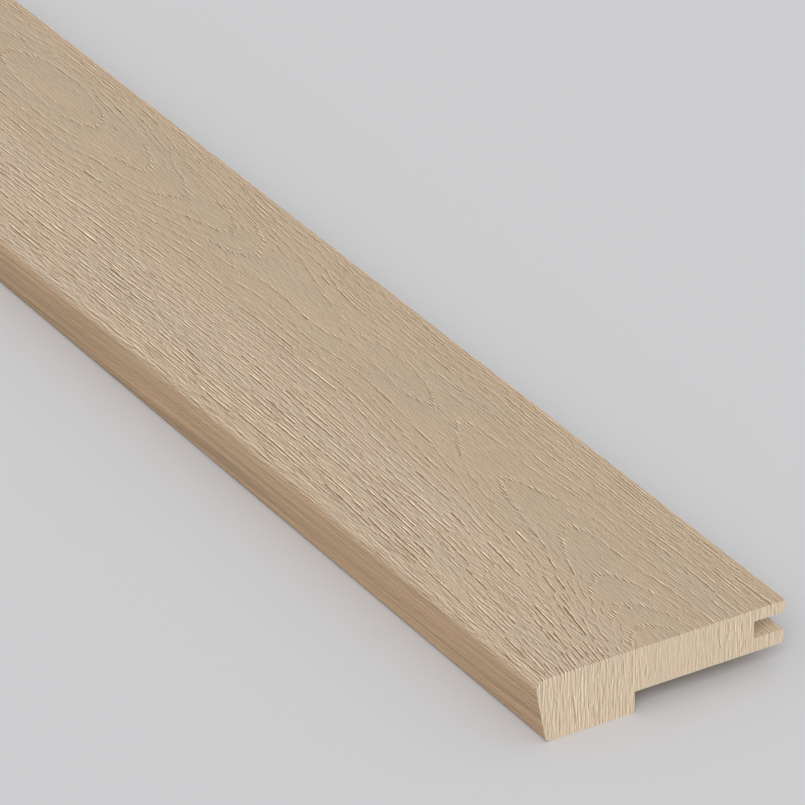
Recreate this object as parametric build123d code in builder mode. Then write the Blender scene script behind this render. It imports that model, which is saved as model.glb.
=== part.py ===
from build123d import *
from math import cos, radians, tan
import os

# Flush stair nosing: one moulded length of solid oak.
# X runs along the board, Y from the nose to the floor boards behind it, Z is up.
# The origin is the middle of the length and of the width, at the height of the nose's bottom.

# Driving sizes, in millimetres and degrees
length = 1981.2
width = 95.25
nose_height = 23.8125
nose_depth = 37.5
floor_thickness = 15.875
front_lean = 11.0
upper_lip_thickness = 4.4
groove_height = 6.35
groove_depth = 12.0
lower_lip_setback = 0.35

# Worked edges, as radii
top_front_radius = 3.8
bottom_front_radius = 2.2
nose_heel_radius = 1.0
upper_lip_under_radius = 1.2
lower_lip_top_radius = 0.3
lower_lip_bottom_radius = 1.0

# Heights and places that follow, measured from the nose's bottom and its foremost point
underside_z = nose_height - floor_thickness
groove_top_z = nose_height - upper_lip_thickness
groove_bottom_z = groove_top_z - groove_height
groove_end_y = width - groove_depth
lower_lip_y = width - lower_lip_setback

# The front face leans back as it goes down, so the rounded edge is the foremost point.
# The sharp corner that the rounding replaces lies this far in front of it.
lean_run = tan(radians(front_lean))
corner_lead = top_front_radius * (1 / cos(radians(front_lean)) + lean_run - 1)
front_bottom_y = nose_height * lean_run - corner_lead

# The section's corners, in order from the sharp top front corner, round by the back
top_front = (-corner_lead, nose_height)
top_back = (width, nose_height)
upper_lip_under = (width, groove_top_z)
groove_top_inner = (groove_end_y, groove_top_z)
groove_bottom_inner = (groove_end_y, groove_bottom_z)
lower_lip_top = (lower_lip_y, groove_bottom_z)
lower_lip_bottom = (lower_lip_y, underside_z)
rabbet_corner = (nose_depth, underside_z)
nose_heel = (nose_depth, 0)
front_bottom = (front_bottom_y, 0)

# Each rounded corner with its radius
rounded_corners = [
    (top_front, top_front_radius),
    (front_bottom, bottom_front_radius),
    (nose_heel, nose_heel_radius),
    (lower_lip_bottom, lower_lip_bottom_radius),
    (lower_lip_top, lower_lip_top_radius),
    (upper_lip_under, upper_lip_under_radius),
]

# The section stands on the end plane at -X, its own x along the part's Y
end_plane = Plane(origin=(-length / 2, -width / 2, 0), x_dir=(0, 1, 0), z_dir=(1, 0, 0))

with BuildPart() as stair_nosing:
    with BuildSketch(end_plane) as section:
        with BuildLine():
            Polyline(
                top_front,
                top_back,
                upper_lip_under,
                groove_top_inner,
                groove_bottom_inner,
                lower_lip_top,
                lower_lip_bottom,
                rabbet_corner,
                nose_heel,
                front_bottom,
                close=True,
            )
        make_face()
        for corner, radius in rounded_corners:
            fillet(section.vertices().sort_by_distance(Vector(*corner))[0], radius)
    extrude(amount=length)

stair_nosing.part.label = "stair_nosing"

os.makedirs("parts", exist_ok=True)
export_step(stair_nosing.part, "parts/stair_nosing.step")
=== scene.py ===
"""A flush stair nosing in wire-brushed oak, dressed around its CAD frame."""

import random
from math import atan2, cos, exp, hypot, pi, radians, sin, tan

import bmesh
import bpy
import numpy as np
from mathutils import Euler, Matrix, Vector
from mathutils.geometry import delaunay_2d_cdt


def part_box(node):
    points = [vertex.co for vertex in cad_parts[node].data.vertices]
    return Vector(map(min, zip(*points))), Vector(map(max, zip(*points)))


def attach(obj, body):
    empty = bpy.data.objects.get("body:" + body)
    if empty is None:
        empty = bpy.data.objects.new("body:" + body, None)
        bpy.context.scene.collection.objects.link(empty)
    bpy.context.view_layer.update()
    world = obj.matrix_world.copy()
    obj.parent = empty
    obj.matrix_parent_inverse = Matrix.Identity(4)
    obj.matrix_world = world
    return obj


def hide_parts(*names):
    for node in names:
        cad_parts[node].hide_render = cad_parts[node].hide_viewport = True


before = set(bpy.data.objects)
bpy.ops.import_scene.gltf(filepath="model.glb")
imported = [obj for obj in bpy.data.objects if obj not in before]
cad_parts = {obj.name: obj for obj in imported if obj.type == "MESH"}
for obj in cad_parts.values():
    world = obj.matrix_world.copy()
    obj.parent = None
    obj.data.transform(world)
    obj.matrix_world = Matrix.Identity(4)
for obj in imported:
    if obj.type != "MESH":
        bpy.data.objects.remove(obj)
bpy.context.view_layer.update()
SEED = 1871
random.seed(SEED)

# Sizes of the section in millimetres: across from the nose's foremost point, up from its bottom
MM = 0.001
node_low, node_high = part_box("stair_nosing")
LENGTH = (node_high.x - node_low.x) / MM
WIDTH = 95.25
NOSE_HEIGHT = 23.8125
NOSE_DEPTH = 37.5
FLOOR_THICKNESS = 15.875
FRONT_LEAN = radians(11.0)
UPPER_LIP = 4.4
GROOVE_HEIGHT = 6.35
GROOVE_DEPTH = 12.0
LIP_SETBACK = 0.35
TOP_FRONT_RADIUS = 3.8
BOTTOM_FRONT_RADIUS = 2.2
HEEL_RADIUS = 1.0
UPPER_LIP_UNDER_RADIUS = 1.2
LOWER_LIP_TOP_RADIUS = 0.3
LOWER_LIP_BOTTOM_RADIUS = 1.0


# The section

def fillet(before, corner, after, radius, steps):
    """The arc that rounds a corner, as points from the first tangent point to the last."""
    back = (Vector(before) - Vector(corner)).normalized()
    ahead = (Vector(after) - Vector(corner)).normalized()
    half = back.angle(ahead) / 2
    centre = Vector(corner) + (back + ahead).normalized() * radius / sin(half)
    first = Vector(corner) + back * radius / tan(half) - centre
    last = Vector(corner) + ahead * radius / tan(half) - centre
    start = atan2(first.y, first.x)
    turn = (atan2(last.y, last.x) - start + pi) % (2 * pi) - pi
    angles = [start + turn * k / steps for k in range(steps + 1)]
    return [(centre.x + radius * cos(a), centre.y + radius * sin(a)) for a in angles]


def section_outline():
    """The outline from the top face's front edge, over the top and all the way round."""
    corner_lead = TOP_FRONT_RADIUS * (1 / cos(FRONT_LEAN) + tan(FRONT_LEAN) - 1)
    underside = NOSE_HEIGHT - FLOOR_THICKNESS
    groove_top = NOSE_HEIGHT - UPPER_LIP
    groove_bottom = groove_top - GROOVE_HEIGHT
    groove_end = WIDTH - GROOVE_DEPTH
    lower_lip = WIDTH - LIP_SETBACK
    corners = [
        ((-corner_lead, NOSE_HEIGHT), TOP_FRONT_RADIUS, 14),
        ((WIDTH, NOSE_HEIGHT), 0, 0),
        ((WIDTH, groove_top), UPPER_LIP_UNDER_RADIUS, 6),
        ((groove_end, groove_top), 0, 0),
        ((groove_end, groove_bottom), 0, 0),
        ((lower_lip, groove_bottom), LOWER_LIP_TOP_RADIUS, 4),
        ((lower_lip, underside), LOWER_LIP_BOTTOM_RADIUS, 5),
        ((NOSE_DEPTH, underside), 0, 0),
        ((NOSE_DEPTH, 0), HEEL_RADIUS, 5),
        ((NOSE_HEIGHT * tan(FRONT_LEAN) - corner_lead, 0), BOTTOM_FRONT_RADIUS, 8),
    ]
    outline, rounded = [], []
    for k, (corner, radius, steps) in enumerate(corners):
        before, after = corners[k - 1][0], corners[(k + 1) % len(corners)][0]
        points = fillet(before, corner, after, radius, steps) if radius else [corner]
        outline += points
        rounded += [True] * (len(points) - 1) + [False]
    first = rounded.index(False)
    return outline[first:] + outline[:first], rounded[first:] + rounded[:first]


OUTLINE, ROUNDED = section_outline()
TOP_FRONT = OUTLINE[0][0]


# The growth rings. The same formulas take arrays here and shader nodes in the material.

class Nodes:
    """A number that shader nodes work out, with the same operators as a plain number."""

    tree = None

    def __init__(self, socket):
        self.socket = socket

    @classmethod
    def call(cls, operation, *inputs):
        node = cls.tree.nodes.new("ShaderNodeMath")
        node.operation = operation
        for slot, value in zip(node.inputs, inputs):
            if isinstance(value, Nodes):
                cls.tree.links.new(value.socket, slot)
            else:
                slot.default_value = value
        return cls(node.outputs[0])

    def __add__(self, other):
        return Nodes.call("ADD", self, other)

    def __radd__(self, other):
        return Nodes.call("ADD", other, self)

    def __sub__(self, other):
        return Nodes.call("SUBTRACT", self, other)

    def __rsub__(self, other):
        return Nodes.call("SUBTRACT", other, self)

    def __mul__(self, other):
        return Nodes.call("MULTIPLY", self, other)

    def __rmul__(self, other):
        return Nodes.call("MULTIPLY", other, self)

    def __truediv__(self, other):
        return Nodes.call("DIVIDE", self, other)

    def __rtruediv__(self, other):
        return Nodes.call("DIVIDE", other, self)


def power_of_e(value):
    return Nodes.call("EXPONENT", value) if isinstance(value, Nodes) else np.exp(value)


def sine(value):
    return Nodes.call("SINE", value) if isinstance(value, Nodes) else np.sin(value)


def square_root(value):
    return Nodes.call("SQRT", value) if isinstance(value, Nodes) else np.sqrt(value)


def climb(value, start, width):
    """0 before the start and 1 a width after it, with a soft climb between."""
    return 1 / (1 + power_of_e((start + width / 2 - value) * (6 / width)))


# Where the figure's spine settles across the board, how far in front of that it starts at the
# near end, and from where along the board it wanders
SPINE_ACROSS = 72
SPINE_START = 27
WANDER_FROM = 380
# Where across the board the tree's middle lies, and how far from its spine the figure bends rings
PITH_ACROSS = 62
FIGURE_REACH = 60
# The radius from which rings are counted, the rings in a millimetre there, and how that grows
FIRST_RADIUS = 22
RING_DENSITY = 0.385
DENSER = 0.0049


def spine(along):
    """Where across the board the middle of the cathedral figure runs."""
    wander = 5 * sine((along - WANDER_FROM) / 120) * climb(along, WANDER_FROM, 160)
    return SPINE_ACROSS - SPINE_START * power_of_e(along / -110) + wander


def pith_depth(along):
    """How far under the face the tree's middle lies, which opens and closes the arches.

    It deepens away from the near end, comes up again further in, and then sways.
    """
    deepening = 20 + 15.3 * (1 - power_of_e(along / -78))
    rising = 20 * climb(along, 210, 300) - 9 * climb(along, 400, 200)
    return deepening - rising + 7 * sine((along - 430) / 90) * climb(along, 400, 120)


def ring_radius(along, across):
    """Distance from the tree's middle, in millimetres, at a place on the unfolded face."""
    line = spine(along)
    off = across - line
    reach = power_of_e((off * off) / -FIGURE_REACH**2)
    sideways = across - PITH_ACROSS - (line - PITH_ACROSS) * reach
    ripple = 0.4 * sine(along / 21 + across / 9) + 0.25 * sine(along / 9.3 - across / 6 + 1.7)
    depth = pith_depth(along)
    return square_root(sideways * sideways + depth * depth) + ripple


def ring_count(radius):
    """How many growth rings lie within a radius; the outer rings are narrower."""
    out = radius - FIRST_RADIUS
    return RING_DENSITY * out + DENSER * (out * out)


class RingLines:
    """Where each growth ring meets the top face, on both sides of the figure's spine."""

    STEP = 2.0
    FINE = 0.25

    def __init__(self):
        self.along = np.arange(0, LENGTH + self.STEP, self.STEP)
        self.across = np.arange(TOP_FRONT, WIDTH, self.FINE)
        self.counts = ring_count(ring_radius(self.along[:, None], self.across[None, :]))
        self.middle = spine(self.along)
        at_middle = ring_count(ring_radius(self.along, self.middle))
        self.tips = [
            (self.along[k], self.middle[k], int(max(np.floor(a), np.floor(b))), b > a)
            for k, (a, b) in enumerate(zip(at_middle, at_middle[1:]))
            if np.floor(a) != np.floor(b)
        ]
        self.levels = range(int(self.counts.min()), int(self.counts.max()) + 2)

    def line(self, level, back):
        """The ring's place across the face for each step along it, or nan where it has none."""
        side = self.across[None, :] > self.middle[:, None]
        inside = (self.counts >= level) & (side if back else ~side)
        if back:
            outer = inside.argmax(axis=1)
            inner = np.maximum(outer - 1, 0)
        else:
            outer = len(self.across) - 1 - inside[:, ::-1].argmax(axis=1)
            inner = np.minimum(outer + 1, len(self.across) - 1)
        rows = np.arange(len(self.along))
        outer_count, inner_count = self.counts[rows, outer], self.counts[rows, inner]
        share = (outer_count - level) / np.maximum(outer_count - inner_count, 1e-6)
        place = self.across[outer] + (self.across[inner] - self.across[outer]) * share
        found = inside.any(axis=1) & (inner_count < level)
        return np.where(found, place, np.nan)


# Brushed grooves

class Taken:
    """Cells of a face that grooves already use, so that no two of them touch."""

    CELL = 0.15
    GAP = 0.06

    def __init__(self, length, width):
        self.cells = np.zeros((int(length / self.CELL) + 2, int(width / self.CELL) + 2), bool)

    def block_outside(self, outline, margin):
        """Takes the cells that lie outside an outline or within a margin of it."""
        rows, columns = self.cells.shape
        x = (np.arange(rows)[:, None] + 0.5) * self.CELL
        y = (np.arange(columns)[None, :] + 0.5) * self.CELL
        inside = np.zeros(self.cells.shape, bool)
        near = np.zeros(self.cells.shape, bool)
        for (x0, y0), (x1, y1) in zip(outline, outline[1:] + outline[:1]):
            if y0 != y1:
                crosses = (y0 > y) != (y1 > y)
                inside ^= crosses & (x < x0 + (x1 - x0) * (y - y0) / (y1 - y0))
            run = max(hypot(x1 - x0, y1 - y0), 1e-9)
            t = np.clip(((x - x0) * (x1 - x0) + (y - y0) * (y1 - y0)) / run**2, 0, 1)
            near |= np.hypot(x0 + (x1 - x0) * t - x, y0 + (y1 - y0) * t - y) < margin
        self.cells |= ~inside | near

    def spans(self, line, widths):
        """The cells under a line: which stretch of it, the row, and the columns from and to."""
        for k, ((x0, y0), (x1, y1)) in enumerate(zip(line, line[1:])):
            steps = max(1, int(abs(x1 - x0) / self.CELL))
            for step in range(steps + 1):
                t = step / steps
                half = (widths[k] + (widths[k + 1] - widths[k]) * t) / 2 + self.GAP
                middle = y0 + (y1 - y0) * t
                row = int((x0 + (x1 - x0) * t) / self.CELL)
                yield k, row, int(max(0, middle - half) / self.CELL), int((middle + half) / self.CELL) + 1

    def free_points(self, line, width):
        """How many points from its start a line can keep without touching what is taken."""
        for k, row, low, high in self.spans(line, [width] * len(line)):
            if row >= len(self.cells) or self.cells[row, low:high].any():
                return k + 1 if k else 0
        return len(line)

    def take(self, line, widths):
        """Takes the cells under a line."""
        for _, row, low, high in self.spans(line, widths):
            self.cells[row, low:high] = True


class Grooves:
    """The grooves of one flat face, as lines with a width and a depth at each point."""

    def __init__(self, taken):
        self.taken = taken
        self.lines, self.widths, self.depths = [], [], []

    def add(self, line, width, steepness, open_depth=None, narrowed=1.0):
        """Adds a groove, shortened to the room there is.

        An open one starts on the border at its full width, and may be narrowed past it.
        """
        kept = self.taken.free_points(line, width)
        if kept < 3:
            return False
        line = line[:kept]
        widths = [width * narrowed * random.uniform(0.82, 1.1) for _ in line]
        widths[-1] = 0
        depths = [w * steepness for w in widths]
        if open_depth:
            widths[0], depths[0] = width, open_depth
        else:
            widths[0] = depths[0] = 0
        self.taken.take(line, widths)
        self.lines.append(line)
        self.widths.append(widths)
        self.depths.append(depths)
        return True

    def open_starts(self):
        """The grooves that start on the near border: number, place, width and depth."""
        found = [
            (k, line[0][1], widths[0], depths[0])
            for k, (line, widths, depths) in enumerate(zip(self.lines, self.widths, self.depths))
            if line[0][0] == 0.0
        ]
        return sorted(found, key=lambda start: start[1])


# How near to the top face's edges its grooves come, but for those that open over the near end
EDGE_MARGIN = 0.5
# A groove's depth as a share of its width
STEEPNESS = (0.12, 0.18)
# Where across the top face its front zone ends and its back zone starts, and how softly
FRONT_ENDS, FRONT_BLUR = 46, 5
BACK_STARTS, BACK_BLUR = 77, 2.5
# A groove's usual width and length, and the usual gap past the least one, in the front, the
# middle and the back zone
WIDTHS = (0.72, 0.56, 0.5)
LENGTHS = (16.0, 13.0, 15.0)
GAPS = (1.2, 1.8, 1.2)
LEAST_GAP = 0.6
WIDEST = 1.15
SHORTEST, LONGEST = 3.5, 45
# Further than this from the near end, grooves are fewer, longer, wider and have fewer points
NEAR = 540.0
FAR_SHARE = 0.6
FAR_STRETCH = 2.0
FAR_WIDTH = 1.15
NEAR_STEP, FAR_STEP = 2.4, 7.0


class Habit:
    """How grooves run at a place on the top face."""

    def __init__(self, along, across):
        self.front = 1 / (1 + exp((across - FRONT_ENDS) / FRONT_BLUR))
        self.back = 1 / (1 + exp((BACK_STARTS - across) / BACK_BLUR))
        self.middle = max(0.0, 1 - self.front - self.back)
        self.far = along > NEAR

    def blend(self, front, middle, back):
        """A value for this place from the values of the face's three zones."""
        return front * self.front + middle * self.middle + back * self.back

    def width(self):
        width = self.blend(*WIDTHS) * random.lognormvariate(0, 0.26)
        return min(WIDEST, width) * (FAR_WIDTH if self.far else 1.0)

    def length(self):
        length = self.blend(*LENGTHS) * random.lognormvariate(0, 0.55)
        return min(LONGEST, max(SHORTEST, length)) * (FAR_STRETCH if self.far else 1.0)

    def gap(self):
        gap = random.expovariate(1 / self.blend(*GAPS))
        return LEAST_GAP + gap * (FAR_STRETCH if self.far else 1.0)

    def step(self):
        return FAR_STEP if self.far else NEAR_STEP


def pointed(start, end, point, step):
    """Places from start to end, about a step apart, with one close to each end."""
    count = max(1, round((end - start - 2 * point) / step))
    inner = [start + point + (end - start - 2 * point) * k / count for k in range(count + 1)]
    return [start] + inner + [end]


# How far a groove turns with its ring: the pores lie nearer to the board's own direction
FOLLOW = 0.55
# Where a row starts. A groove that starts nearer to the end than the second of these runs over the
# end's edge, and one that ends nearer to it than the third is left out.
ROW_START = (-8, 4)
OPEN_BEFORE = 0.4
LEAST_END = 2.0
# How long a groove's pointed ends are, and how far it and each of its points stray
POINT = 0.8
STRAY, WOBBLE = 0.2, 0.055
# A ring that crosses the board more steeply than this has no grooves along it
STEEPEST = 1.5


def brush_along(grooves, line, shares, scales):
    """Lays grooves end to end with gaps along a ring's line on the top face."""
    along = random.uniform(*ROW_START)
    while along < LENGTH - EDGE_MARGIN:
        spot = int(max(along, 0) / RingLines.STEP)
        if spot >= len(line) - 1 or np.isnan(line[spot] + line[spot + 1]):
            along += RingLines.STEP
            continue
        habit = Habit(along, line[spot])
        slope = abs(line[spot + 1] - line[spot]) / RingLines.STEP
        shortened = 1 + 2 * slope
        length = habit.length() / shortened
        start, end = along, min(along + length, LENGTH - EDGE_MARGIN)
        along += length + habit.gap() / shortened
        share = habit.blend(*shares) * (FAR_SHARE if habit.far else 1.0)
        if end < LEAST_END or random.random() > share:
            continue
        is_open = start < OPEN_BEFORE
        start = 0.0 if is_open else start
        point = min(POINT, (end - start) / 5)
        shift = random.gauss(0, STRAY)
        places = pointed(start, end, point, habit.step())
        ring = np.interp(places, np.arange(len(line)) * RingLines.STEP, line)
        middle = ring.mean()
        if np.isnan(middle) or slope > STEEPEST:
            continue
        points = [
            (place, middle + FOLLOW * (across - middle) + shift + random.gauss(0, WOBBLE))
            for place, across in zip(places, ring.tolist())
        ]
        width = habit.width() * habit.blend(*scales)
        lowest, highest = TOP_FRONT + EDGE_MARGIN + width / 2, WIDTH - EDGE_MARGIN - width / 2
        if not all(lowest < y < highest for _, y in points):
            continue
        steepness = random.uniform(*STEEPNESS)
        grooves.add(points, width, steepness, width * steepness if is_open else None)


# How far to each side of the spine an arch's short grooves go, and how they lie there
ARCH_REACH = 10.0
ARCH_SPACING = (0.8, 1.15)
ARCH_LENGTH = (1.8, 4.6)
ARCH_WIDTH = (0.6, 0.9)
ARCH_STRAY = 0.7
ARCH_TILT = 0.12
ARCH_POINT, ARCH_STEP = 0.4, 2.0


def brush_arch(grooves, along, across, level, opens_near):
    """Short grooves side by side, where a ring turns round the figure's spine."""
    way = -1 if opens_near else 1
    places = along + way * np.arange(-3, 18, 0.25)
    beside = across - ARCH_REACH
    while beside < across + ARCH_REACH:
        beside += random.uniform(*ARCH_SPACING)
        over = ring_count(ring_radius(places, beside)) > level
        turns = np.flatnonzero(over[1:] != over[:-1])
        if len(turns) == 0:
            continue
        length = random.uniform(*ARCH_LENGTH)
        start = places[turns[0]] - length / 2 + random.gauss(0, ARCH_STRAY)
        if not 0.6 < start < LENGTH - 8 or not TOP_FRONT + 2 < beside < WIDTH - 2:
            continue
        tilt = way * ARCH_TILT * (across - beside) / ARCH_REACH
        stops = pointed(start, start + length, ARCH_POINT, ARCH_STEP)
        points = [(stop, beside + tilt * (stop - start)) for stop in stops]
        grooves.add(points, random.uniform(*ARCH_WIDTH), STEEPNESS[1])


# For each rank of rows: where they lie between two rings, then for the front, the middle and the
# back of the face the share of a row that is grooved, and how wide its grooves are
RANKS = (
    ((0.0,), (0.99, 0.95, 0.97), (1.0, 1.0, 1.0)),
    ((0.5,), (0.8, 0.32, 0.95), (0.68, 0.75, 1.0)),
    ((0.25, 0.75), (0.32, 0.12, 0.85), (0.5, 0.6, 0.9)),
)


def brushed_top():
    """All the grooves of the top face."""
    grooves = Grooves(Taken(LENGTH, WIDTH))
    rings = RingLines()
    for along, across, level, opens_near in rings.tips:
        brush_arch(grooves, along, across, level, opens_near)
    for parts, shares, scales in RANKS:
        for level in rings.levels:
            for part in parts:
                for back in (False, True):
                    brush_along(grooves, rings.line(level + part, back), shares, scales)
    return grooves


# Faces that carry grooves

class Skin:
    """The faces of the board, gathered in millimetres.

    Each corner of a face has a grain place: along and across the unfolded board, and 1 on
    end grain. Each corner also has a relief: below 0 on a groove's wall that faces the back
    edge, which the material darkens with painted shade and a pore stain, and above 0 on its
    other wall, which it makes paler with a painted highlight.
    """

    def __init__(self):
        self.points, self.faces, self.grain, self.relief, self.smooth = [], [], [], [], []

    def add(self, points, faces, grain, relief, smooth=False):
        start = len(self.points)
        self.points += points
        self.faces += [[start + k for k in face] for face in faces]
        self.grain += grain
        self.relief += relief
        self.smooth += [smooth] * len(faces)


# How far a groove's floor line lies from its middle to its paler wall, as a share of half its width
FLOOR_LEAN = (0.15, 0.5)
# Corners nearer to each other than this are one when a face is triangulated
SAME_PLACE = 1e-5
# A wall that leans less than this counts as level
LEAST_LEAN = 0.1
# The share of a wall's relief at its upper edge, and how deep its lower edge is for the whole of it
UPPER_SHARE = 0.6
DEEP_GROOVE = 0.13


def carve(border, opens, grooves):
    """Triangulates a flat face with its grooves: places, their depths, and triangles.

    Opens holds, for a groove that starts on the border, the three border points it uses.
    """
    points = [Vector(place) for place, _ in border]
    depths = [depth for _, depth in border]
    edges = [(k, (k + 1) % len(border)) for k in range(len(border))]
    for number, (line, widths, groove_depths) in enumerate(
        zip(grooves.lines, grooves.widths, grooves.depths)
    ):
        rows = []
        for k, ((x, y), width, depth) in enumerate(zip(line, widths, groove_depths)):
            if k == 0 and number in opens:
                rows.append(opens[number])
                continue
            centre = Vector((x, y))
            if width == 0:
                points.append(centre)
                depths.append(0.0)
                rows.append((len(points) - 1,) * 3)
                continue
            before, after = line[max(0, k - 1)], line[min(len(line) - 1, k + 1)]
            side = Vector((before[1] - after[1], after[0] - before[0])).normalized() * width / 2
            lean = random.uniform(*FLOOR_LEAN)
            points += [centre - side, centre + side * lean, centre + side]
            depths += [0.0, depth, 0.0]
            rows.append((len(points) - 3, len(points) - 2, len(points) - 1))
        for first, second in zip(rows, rows[1:]):
            edges += set(zip(first, second))
    area = sum(a.cross(b) for a, b in zip(points[: len(border)], points[1 : len(border)]))
    whole = list(range(len(border)))
    if area < 0:
        whole.reverse()
    cut = delaunay_2d_cdt(points, edges, [whole], 1, SAME_PLACE, True)
    made, _, triangles, origins, _, owners = cut
    made_depths = [max((depths[k] for k in origin), default=0.0) for origin in origins]
    triangles = [face for face, owner in zip(triangles, owners) if owner]
    return [tuple(place) for place in made], made_depths, triangles


def wall_relief(solid, depths, triangles):
    """Relief at each corner of a carved face's triangles, from the way each wall faces; the material
    turns it into painted shade and a painted highlight.
    """
    corners = np.array(solid)[np.array(triangles)]
    normals = np.cross(corners[:, 1] - corners[:, 0], corners[:, 2] - corners[:, 0])
    lean = normals[:, 1] / np.maximum(np.linalg.norm(normals, axis=1), 1e-9)
    side = np.where(lean > LEAST_LEAN, -1.0, np.where(lean < -LEAST_LEAN, 1.0, 0.0))
    deep = np.minimum(1, np.array(depths)[np.array(triangles)] / DEEP_GROOVE)
    share = UPPER_SHARE + (1 - UPPER_SHARE) * deep
    return (side[:, None] * share).tolist()


ROW_PITCH = 40.0
ROWS = np.linspace(0, LENGTH, int(LENGTH / ROW_PITCH) + 1).tolist()


def notched_edge(starts, first_index):
    """Border points with a notch for each open groove, and which three points each uses."""
    border, opens = [], {}
    for number, across, width, depth in starts:
        index = first_index + len(border)
        border.append(((0.0, across - width / 2), 0.0))
        border.append(((depth, across), depth))
        border.append(((0.0, across + width / 2), 0.0))
        opens[number] = (index, index + 1, index + 2)
    return border, opens


def add_top(skin, grooves):
    """The top face between the rounded front edge and the back edge."""
    border = [((row, WIDTH), 0.0) for row in ROWS]
    border += [((row, TOP_FRONT), 0.0) for row in reversed(ROWS)]
    notches, opens = notched_edge(grooves.open_starts(), len(border))
    places, depths, triangles = carve(border + notches, opens, grooves)
    triangles = [face[::-1] for face in triangles]
    solid = [(LENGTH / 2 - a, c, NOSE_HEIGHT - d) for (a, c), d in zip(places, depths)]
    grain = [[(*places[k], 0.0) for k in face] for face in triangles]
    skin.add(solid, triangles, grain, wall_relief(solid, depths, triangles))


# How near to an end face's outline its grooves come, and how near to its top edge, where those
# that come over the edge start; these run this far down, narrowed to a share of their width
END_MARGIN = 0.45
TOP_EDGE = 0.6
OVER_LENGTH = (2.6, 9.0)
OVER_NARROWED = 0.6
# About how far apart the points of an end face's groove are, and how far each strays to the side
END_STEP = 1.3
END_WOBBLE = 0.17
# How far apart the rows of an end face are, and how far down from its top edge they start
END_SPACING = (0.75, 1.3)
END_START = (-1.0, 2.0)
END_SHORTEST, END_LONGEST = 2.5, 20
# Where across an end face its grain is calm, and how far to each side
CALM_ACROSS = 55
CALM_REACH = 12


def line_down(down, across, length):
    """A line down an end face that strays a little to both sides."""
    count = max(2, int(length / END_STEP))
    line = [(down, across)]
    for _ in range(count):
        down += length / count
        across += random.gauss(0.0, END_WOBBLE)
        line.append((down, across))
    return line


def brushed_end(starts, outline):
    """The grooves of an end face, with those that come over its top edge first."""
    grooves = Grooves(Taken(NOSE_HEIGHT, WIDTH))
    grooves.taken.block_outside(outline, END_MARGIN)
    edge_rows = int(TOP_EDGE / Taken.CELL)
    numbers = {}
    for _, across, width, _ in starts:
        columns = slice(int((across - width) / Taken.CELL), int((across + width) / Taken.CELL) + 1)
        grooves.taken.cells[:edge_rows, columns] = False
    for number, across, width, depth in starts:
        line = line_down(0.0, across, random.uniform(*OVER_LENGTH))
        if grooves.add(line, width, STEEPNESS[0], depth, OVER_NARROWED):
            numbers[number] = len(grooves.lines) - 1
    across = 1.2
    while across < WIDTH - 0.8:
        calm = exp(-(((across - CALM_ACROSS) / CALM_REACH) ** 2))
        down = random.uniform(*END_START)
        while down < NOSE_HEIGHT - 1.5:
            length = min(END_LONGEST, max(END_SHORTEST, random.lognormvariate(2.1, 0.5)))
            width = random.lognormvariate(-0.6, 0.24) * (1 - 0.4 * calm)
            line = line_down(max(0.3, down), across, length)
            grooves.add(line, width, random.uniform(*STEEPNESS))
            down += length + random.uniform(0.5, 1.6 + 7 * calm)
        across += random.uniform(*END_SPACING) * (1 + 0.6 * calm)
    return grooves, numbers


def add_end(skin, starts, near):
    """A square-cut end, whose top edge has the notches of the grooves that run over it."""
    outline = [(NOSE_HEIGHT - z, y) for y, z in OUTLINE]
    grooves, numbers = brushed_end(starts, outline)
    notches, opens = notched_edge(starts, 1)
    opens = {numbers[k]: used for k, used in opens.items() if k in numbers}
    border = [(outline[0], 0.0)] + notches + [(place, 0.0) for place in outline[1:]]
    places, depths, triangles = carve(border, opens, grooves)
    side = 1 if near else -1
    solid = [(side * (LENGTH / 2 - d), c, NOSE_HEIGHT - a) for (a, c), d in zip(places, depths)]
    if not near:
        triangles = [face[::-1] for face in triangles]
    grain = [[(-places[k][0], places[k][1], 1.0) for k in face] for face in triangles]
    skin.add(solid, triangles, grain, wall_relief(solid, depths, triangles))


def add_band(skin):
    """All the long faces but the top, in rows along the board."""
    profile = OUTLINE[1:] + OUTLINE[:1]
    rounded = ROUNDED[1:] + ROUNDED[:1]
    travelled = [0.0]
    for (y0, z0), (y1, z1) in zip(profile, profile[1:]):
        travelled.append(travelled[-1] + hypot(y1 - y0, z1 - z0))
    unfold = [TOP_FRONT - travelled[-1] + t for t in travelled]
    for k in range(len(profile) - 1):
        points = [(LENGTH / 2 - row, *profile[k + e]) for row in ROWS for e in (0, 1)]
        faces = [[2 * r, 2 * r + 1, 2 * r + 3, 2 * r + 2] for r in range(len(ROWS) - 1)]
        grain = [
            [(a, unfold[k], 0.0), (a, unfold[k + 1], 0.0), (b, unfold[k + 1], 0.0), (b, unfold[k], 0.0)]
            for a, b in zip(ROWS, ROWS[1:])
        ]
        skin.add(points, faces, grain, [[0.0] * 4] * len(faces), rounded[k])


WELD_DISTANCE = 0.002 * MM
SHARP_ANGLE = radians(30)


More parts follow.
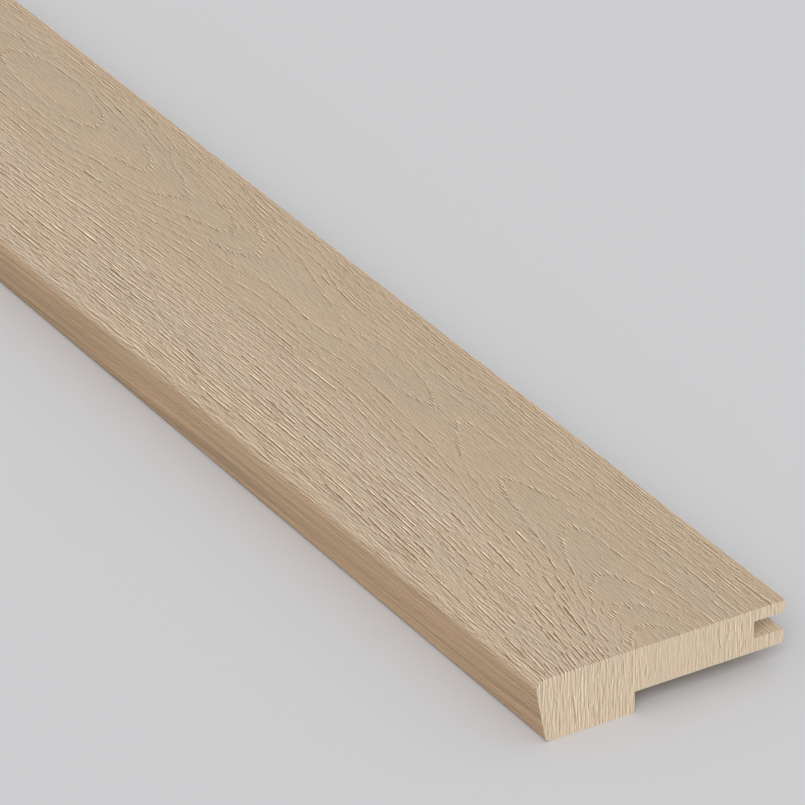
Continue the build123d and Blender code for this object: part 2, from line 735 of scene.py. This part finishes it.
def build_nosing(material):
    """One closed mesh of the whole board."""
    skin = Skin()
    grooves = brushed_top()
    add_top(skin, grooves)
    add_end(skin, grooves.open_starts(), True)
    add_end(skin, [], False)
    add_band(skin)
    mesh = bpy.data.meshes.new("stair_nosing_oak")
    mesh.from_pydata([(x * MM, (y - WIDTH / 2) * MM, z * MM) for x, y, z in skin.points], [], skin.faces)
    mesh.polygons.foreach_set("use_smooth", skin.smooth)
    grain = mesh.attributes.new("grain", "FLOAT_VECTOR", "CORNER")
    grain.data.foreach_set("vector", np.concatenate([np.ravel(face) for face in skin.grain]))
    relief = mesh.attributes.new("relief", "FLOAT", "CORNER")
    relief.data.foreach_set("value", np.concatenate([np.ravel(face) for face in skin.relief]))
    mesh.materials.append(material)
    welded = bmesh.new()
    welded.from_mesh(mesh)
    bmesh.ops.remove_doubles(welded, verts=welded.verts, dist=WELD_DISTANCE)
    welded.to_mesh(mesh)
    welded.free()
    mesh.set_sharp_from_angle(angle=SHARP_ANGLE)
    return bpy.data.objects.new("stair_nosing_oak", mesh)


# Materials

def linear(red, green, blue):
    """A colour given in display values of 0 to 255, as the shader takes it."""
    def one(value):
        value /= 255
        return value / 12.92 if value <= 0.04045 else ((value + 0.055) / 1.055) ** 2.4
    return (one(red), one(green), one(blue), 1.0)


def new_material(name):
    """A material with its node tree and its shader."""
    material = bpy.data.materials.new(name)
    material.use_nodes = True
    return material, material.node_tree, material.node_tree.nodes["Principled BSDF"]


def mixed(tree, first, second, share, blend="MIX"):
    """A colour between two others, or their product; each may be a colour or a socket."""
    node = tree.nodes.new("ShaderNodeMix")
    node.data_type = "RGBA"
    node.blend_type = blend
    for slot, value in ((0, share), (6, first), (7, second)):
        if isinstance(value, Nodes):
            tree.links.new(value.socket, node.inputs[slot])
        elif isinstance(value, bpy.types.NodeSocket):
            tree.links.new(value, node.inputs[slot])
        else:
            node.inputs[slot].default_value = value
    return node.outputs[2]


def noise(tree, along, across, length, width, seed, detail=2.0):
    """Noise from 0 to 1 with blotches of a length along the grain and a width across it."""
    place = tree.nodes.new("ShaderNodeCombineXYZ")
    tree.links.new((along / length).socket, place.inputs[0])
    tree.links.new((across / width).socket, place.inputs[1])
    place.inputs[2].default_value = seed
    node = tree.nodes.new("ShaderNodeTexNoise")
    node.inputs["Scale"].default_value = 1.0
    node.inputs["Detail"].default_value = detail
    tree.links.new(place.outputs[0], node.inputs["Vector"])
    return Nodes(node.outputs[0])


def clamped(value, low, high):
    """A number kept between two limits."""
    return Nodes.call("MINIMUM", Nodes.call("MAXIMUM", value, low), high)


def painted_emboss(tree, along, across, length, width, reach, seed):
    """Fine marks with painted shade on one side and a painted highlight on the other, about 0."""
    above = noise(tree, along, across + reach, length, width, seed)
    below = noise(tree, along, across - reach, length, width, seed)
    return below - above


# The oak's colours on the top face, cooler and warmer, toward its front and toward its back
FRONT_OAK, WARM_FRONT_OAK = linear(190, 171, 149), linear(192, 171, 145)
BACK_OAK, WARM_BACK_OAK = linear(186, 167, 143), linear(189, 167, 140)
# Its colours at the back edge; on the ends, paler raw end grain with painted light; on the front
# face, warmer oak with painted shade; and on the faces left unfinished, paler raw wood with painted
# light that lifts the shaded groove
EDGE_OAK = linear(199, 167, 134)
END_OAK_WITH_PAINTED_LIGHT = linear(210, 191, 166)
FRONT_FACE_OAK_WITH_PAINTED_SHADE = linear(183, 154, 122)
UNFINISHED_OAK_WITH_PAINTED_LIGHT = linear(206, 186, 158)
# What the darker wall, the paler wall and a crack multiply the oak's colour by. The darker wall's
# tint is painted shade with a pore stain, and the paler wall's is a painted highlight; these stay
# where they are on the board, whichever way the light comes from.
SHADE_AND_STAIN, WARM_SHADE_AND_STAIN = (0.31, 0.195, 0.105, 1), (0.43, 0.22, 0.09, 1)
PAINTED_HIGHLIGHT = (1.5, 1.56, 1.62, 1)
CRACK = (0.52, 0.37, 0.26, 1)
# How far the pores' painted shade and painted highlight lie from their middle, in millimetres
PORE_REACH = 0.2


def ring_pores(tree, along, across):
    """1 on the short strokes where a growth ring's pores open on the face, 0 between them."""
    count = ring_count(ring_radius(along, across))
    off_ring = Nodes.call("ABSOLUTE", Nodes.call("FRACT", count + 0.5) - 0.5)
    strokes = clamped(noise(tree, along, across, 5, 0.6, 2.7) * 8 - 3.6, 0, 1)
    return clamped(1 - off_ring * 7, 0, 1) * strokes


class Zones:
    """How far a place on the unfolded board belongs to each of its zones, from 0 to 1."""

    def __init__(self, tree, along, across, on_end):
        off_end = 1 - on_end
        ragged = (noise(tree, along, across, 26, 5, 15.2) - 0.5) * 4
        from_calm = across - CALM_ACROSS
        self.end = on_end
        self.calm = power_of_e(from_calm * from_calm / -CALM_REACH**2) * on_end
        self.side = climb(ragged - across, -0.8, 4.0) * off_end
        self.top = (1 - self.side) * off_end
        self.unfinished = climb(across * -1, 26.0, 4.0) * off_end
        self.front_face = self.side * (1 - self.unfinished)
        self.low_front = climb(across * -1, 10.0, 6.0) * self.front_face
        self.behind_front = climb(across, 36.0, 16.0) * off_end
        self.back_edge = climb(across, 93.0, 1.6) * off_end
        self.brushed_hard = (1 - climb(across, 24, 22)) * (1 - self.side) * (1 - on_end * 0.8)
        self.rounding = climb(across, -3.0, 3.0) * (1 - climb(across, 3.0, 2.0)) * off_end
        self.front_edge = climb(across, -2.5, 2.0) * (1 - climb(across, 5.0, 4.0)) * off_end


def oak_colour(tree, along, across, zones):
    """The oak's colour before its marks, which drifts from cooler to warmer on the top face."""
    warm = clamped(noise(tree, along, across, 75, 11, 8.7) * 3 - 1, 0, 1)
    front = mixed(tree, FRONT_OAK, WARM_FRONT_OAK, warm)
    back = mixed(tree, BACK_OAK, WARM_BACK_OAK, warm)
    colour = mixed(tree, front, back, zones.behind_front)
    colour = mixed(tree, colour, EDGE_OAK, zones.back_edge * 0.3)
    # The ends: paler raw end grain with painted light
    colour = mixed(tree, colour, END_OAK_WITH_PAINTED_LIGHT, zones.end)
    # The front face: warmer oak with painted shade
    colour = mixed(tree, colour, FRONT_FACE_OAK_WITH_PAINTED_SHADE, zones.front_face)
    # The unfinished faces and the groove: paler raw wood with painted light
    return mixed(tree, colour, UNFINISHED_OAK_WITH_PAINTED_LIGHT, zones.unfinished)


def mark_level(tree, along, across, zones, fibre):
    """How far the wood's fine marks and its zones lighten or darken it, as a factor about 1; the marks'
    and pores' dark and pale sides are painted shade and highlights.
    """
    drift = noise(tree, along, across, 70, 12, 3.1)
    slanted = across + along * 0.035 + sine(along / 45) * 0.8
    streak = noise(tree, along, slanted, 90, 1.0, 6.4, 3.0)
    hairline = noise(tree, along, slanted, 60, 0.4, 11.2)
    # Fine marks with painted shade on one side and a painted highlight on the other
    scratch_shade_and_highlight = painted_emboss(tree, along, across, 7, 0.75, 0.16, 5.9)
    nick_shade_and_highlight = painted_emboss(tree, along, across, 1.1, 0.42, 0.1, 9.6)
    line = painted_emboss(tree, along, across, 11, 0.55, 0.14, 4.2)
    uneven = clamped(drift * 4 - 1.3, 0.1, 1.3)
    streaked = zones.front_face * 1.15 + zones.low_front * 0.1 + zones.unfinished * 0.4
    # Painted highlight on the back side of the ring pores and painted shade on their front side
    pore_highlight = ring_pores(tree, along, across - PORE_REACH)
    pore_shade = ring_pores(tree, along, across + PORE_REACH)

    level = 1 + (drift - 0.5) * 0.1 + (fibre - 0.5) * 0.16
    level = level - zones.low_front * 0.04 - zones.rounding * 0.03 - zones.behind_front * 0.022
    level = level + nick_shade_and_highlight * (1.1 - zones.end * 0.8)
    level = level + scratch_shade_and_highlight * (0.95 + zones.brushed_hard * 0.7 - zones.calm * 0.5)
    level = level + line * (zones.brushed_hard * 0.9 + (zones.end - zones.calm * 0.7) * uneven)
    level = level + line * (zones.rounding * 0.7 + zones.unfinished * 0.8)
    level = level + (streak - 0.5) * streaked
    level = level + (hairline - 0.5) * zones.front_face * 0.5
    return level + (pore_highlight - pore_shade) * zones.top * (0.33 - zones.brushed_hard * 0.12)


def oak_material():
    """Pale brushed oak: rings' pores, fibres, drifting tone, painted shade and highlights on the grooves'
    walls and fine marks, and painted light and shade on the ends, the front face and the unfinished
    faces.
    """
    material, tree, shader = new_material("brushed_oak")
    Nodes.tree = tree
    attribute = tree.nodes.new("ShaderNodeAttribute")
    attribute.attribute_name = "grain"
    parts = tree.nodes.new("ShaderNodeSeparateXYZ")
    tree.links.new(attribute.outputs["Vector"], parts.inputs[0])
    along, across, on_end = (Nodes(output) for output in parts.outputs)
    attribute = tree.nodes.new("ShaderNodeAttribute")
    attribute.attribute_name = "relief"
    relief = Nodes(attribute.outputs["Fac"]) * (1 - on_end * 0.42)

    zones = Zones(tree, along, across, on_end)
    fibre = noise(tree, along, across, 3.6, 0.34, 1.3)
    level = mark_level(tree, along, across, zones, fibre)
    gray = tree.nodes.new("ShaderNodeCombineColor")
    for slot in gray.inputs:
        tree.links.new(level.socket, slot)
    colour = oak_colour(tree, along, across, zones)
    colour = mixed(tree, colour, gray.outputs[0], 1.0, "MULTIPLY")
    cracked = clamped(noise(tree, along, across, 13, 0.5, 7.3) * 12 - 7.3, 0, 1)
    brown = mixed(tree, colour, CRACK, 1.0, "MULTIPLY")
    colour = mixed(tree, colour, brown, cracked * zones.front_edge * 0.85)
    # The wall facing the back edge gets painted shade with a pore stain, the other wall a painted
    # highlight
    shade_and_stain = mixed(tree, SHADE_AND_STAIN, WARM_SHADE_AND_STAIN, clamped(fibre * 4 - 1.9, 0, 1))
    dark = mixed(tree, colour, shade_and_stain, 1.0, "MULTIPLY")
    pale = mixed(tree, colour, PAINTED_HIGHLIGHT, 1.0, "MULTIPLY")
    colour = mixed(tree, colour, dark, clamped(relief * -1, 0, 1))
    colour = mixed(tree, colour, pale, clamped(relief, 0, 1))
    tree.links.new(colour, shader.inputs["Base Color"])

    roughness = 0.6 + (fibre - 0.5) * 0.2
    tree.links.new(roughness.socket, shader.inputs["Roughness"])
    shader.inputs["Specular IOR Level"].default_value = 0.25
    bump = tree.nodes.new("ShaderNodeBump")
    bump.inputs["Distance"].default_value = 0.12 * MM
    tree.links.new(fibre.socket, bump.inputs["Height"])
    tree.links.new(bump.outputs[0], shader.inputs["Normal"])
    return material


nosing = build_nosing(oak_material())
bpy.context.scene.collection.objects.link(nosing)
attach(nosing, "root")
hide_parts("stair_nosing")


# The floor

FLOOR_HALF = 200.0


def make_floor():
    mesh = bpy.data.meshes.new("floor")
    corners = [(-FLOOR_HALF, -FLOOR_HALF, 0), (FLOOR_HALF, -FLOOR_HALF, 0)]
    corners += [(FLOOR_HALF, FLOOR_HALF, 0), (-FLOOR_HALF, FLOOR_HALF, 0)]
    mesh.from_pydata(corners, [], [(0, 1, 2, 3)])
    floor = bpy.data.objects.new("floor", mesh)
    bpy.context.scene.collection.objects.link(floor)
    material, _, shader = new_material("pale_floor")
    shader.inputs["Base Color"].default_value = linear(206, 206, 208)
    shader.inputs["Roughness"].default_value = 0.9
    shader.inputs["Specular IOR Level"].default_value = 0.0
    mesh.materials.append(material)


make_floor()


# Light, world and camera

def add_sun(name, toward, strength, angle):
    """A soft sun that shines from a direction."""
    light = bpy.data.lights.new(name, "SUN")
    light.energy = strength
    light.angle = radians(angle)
    lamp = bpy.data.objects.new(name, light)
    lamp.rotation_euler = Vector(toward).to_track_quat("Z", "Y").to_euler()
    bpy.context.scene.collection.objects.link(lamp)


add_sun("key", toward=(0.65, -0.42, 0.63), strength=1.6, angle=40)

WORLD_STRENGTH = 0.68
world = bpy.data.worlds.new("studio")
world.use_nodes = True
world.node_tree.nodes["Background"].inputs["Color"].default_value = (1, 1, 1, 1)
world.node_tree.nodes["Background"].inputs["Strength"].default_value = WORLD_STRENGTH
bpy.context.scene.world = world

# The camera's direction, its place in metres and its lens, fitted to the board's long edges
CAMERA_AZIMUTH = radians(58.186)
CAMERA_ELEVATION = radians(29.67)
CAMERA_PLACE = (2.6115, -1.1031, 1.2273)
LENS = 321.92

camera_data = bpy.data.cameras.new("camera")
camera_data.sensor_width = 36.0
camera_data.lens = LENS
camera_data.clip_end = 500.0
camera = bpy.data.objects.new("camera", camera_data)
camera.location = CAMERA_PLACE
camera.rotation_euler = Euler((pi / 2 - CAMERA_ELEVATION, 0, CAMERA_AZIMUTH))
bpy.context.scene.collection.objects.link(camera)
bpy.context.scene.camera = camera
bpy.context.scene.view_settings.view_transform = "Standard"
